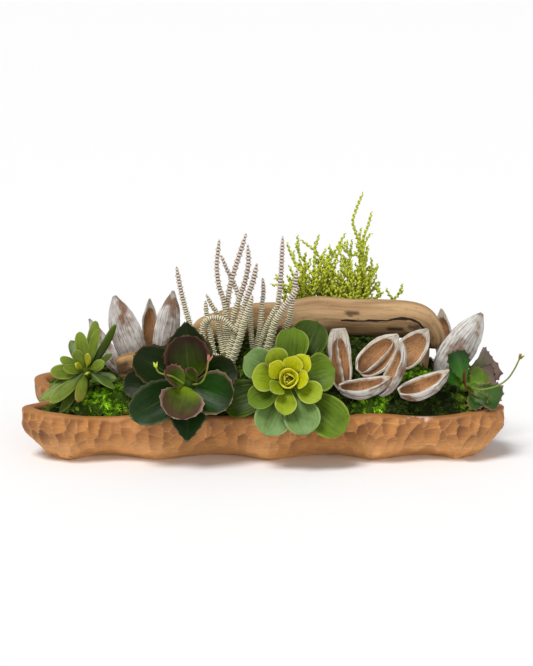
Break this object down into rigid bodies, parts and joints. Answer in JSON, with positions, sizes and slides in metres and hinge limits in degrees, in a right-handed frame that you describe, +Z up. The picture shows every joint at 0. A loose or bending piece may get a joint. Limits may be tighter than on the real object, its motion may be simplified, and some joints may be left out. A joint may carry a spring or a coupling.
{
  "type": "succulent dish garden",
  "caption": "Artificial succulents, dry half pods, ringed stems and lime twigs on moss round a driftwood log, in a long hand-carved bowl with a lobed rim.",
  "frame": {"origin": "middle of the bowl's flat resting face, on the surface that it stands on", "axes": "+X along the bowl to the right as seen from the front, +Y to the back, +Z up"},
  "size_m": [0.7029, 0.3482, 0.3551],
  "materials": {
    "bowl_wood": "satin",
    "foam": "matte",
    "moss": "matte",
    "driftwood": "matte",
    "husk": "matte",
    "lime_succulent": "satin",
    "olive_succulent": "satin",
    "dark_succulent": "satin",
    "ringed_stem": "matte",
    "lime_twig": "matte"
  },
  "bodies": {
    "root": {"bowl": "bowl_wood", "foam_block": "foam", "moss_mat": "moss", "echeveria_rosette": "lime_succulent", "paddle_leaf_succulent": "olive_succulent", "dark_leaf_succulent": "dark_succulent", "small_notched_succulent": "dark_succulent", "ringed_stems_left": "ringed_stem", "ringed_stems_right": "ringed_stem", "ringed_stem_single": "ringed_stem", "lime_twigs_left": "lime_twig", "lime_twigs_middle": "lime_twig", "lime_twigs_right": "lime_twig", "driftwood_log": "driftwood", "driftwood_branch": "driftwood", "husk_front_1": "husk", "husk_front_2": "husk", "husk_front_3": "husk", "husk_front_4": "husk", "husk_front_5": "husk", "husk_front_6": "husk", "husk_left_1": "husk", "husk_left_2": "husk", "husk_left_3": "husk", "husk_left_4": "husk", "husk_right_1": "husk", "husk_right_2": "husk"}
  },
  "joints": []
}
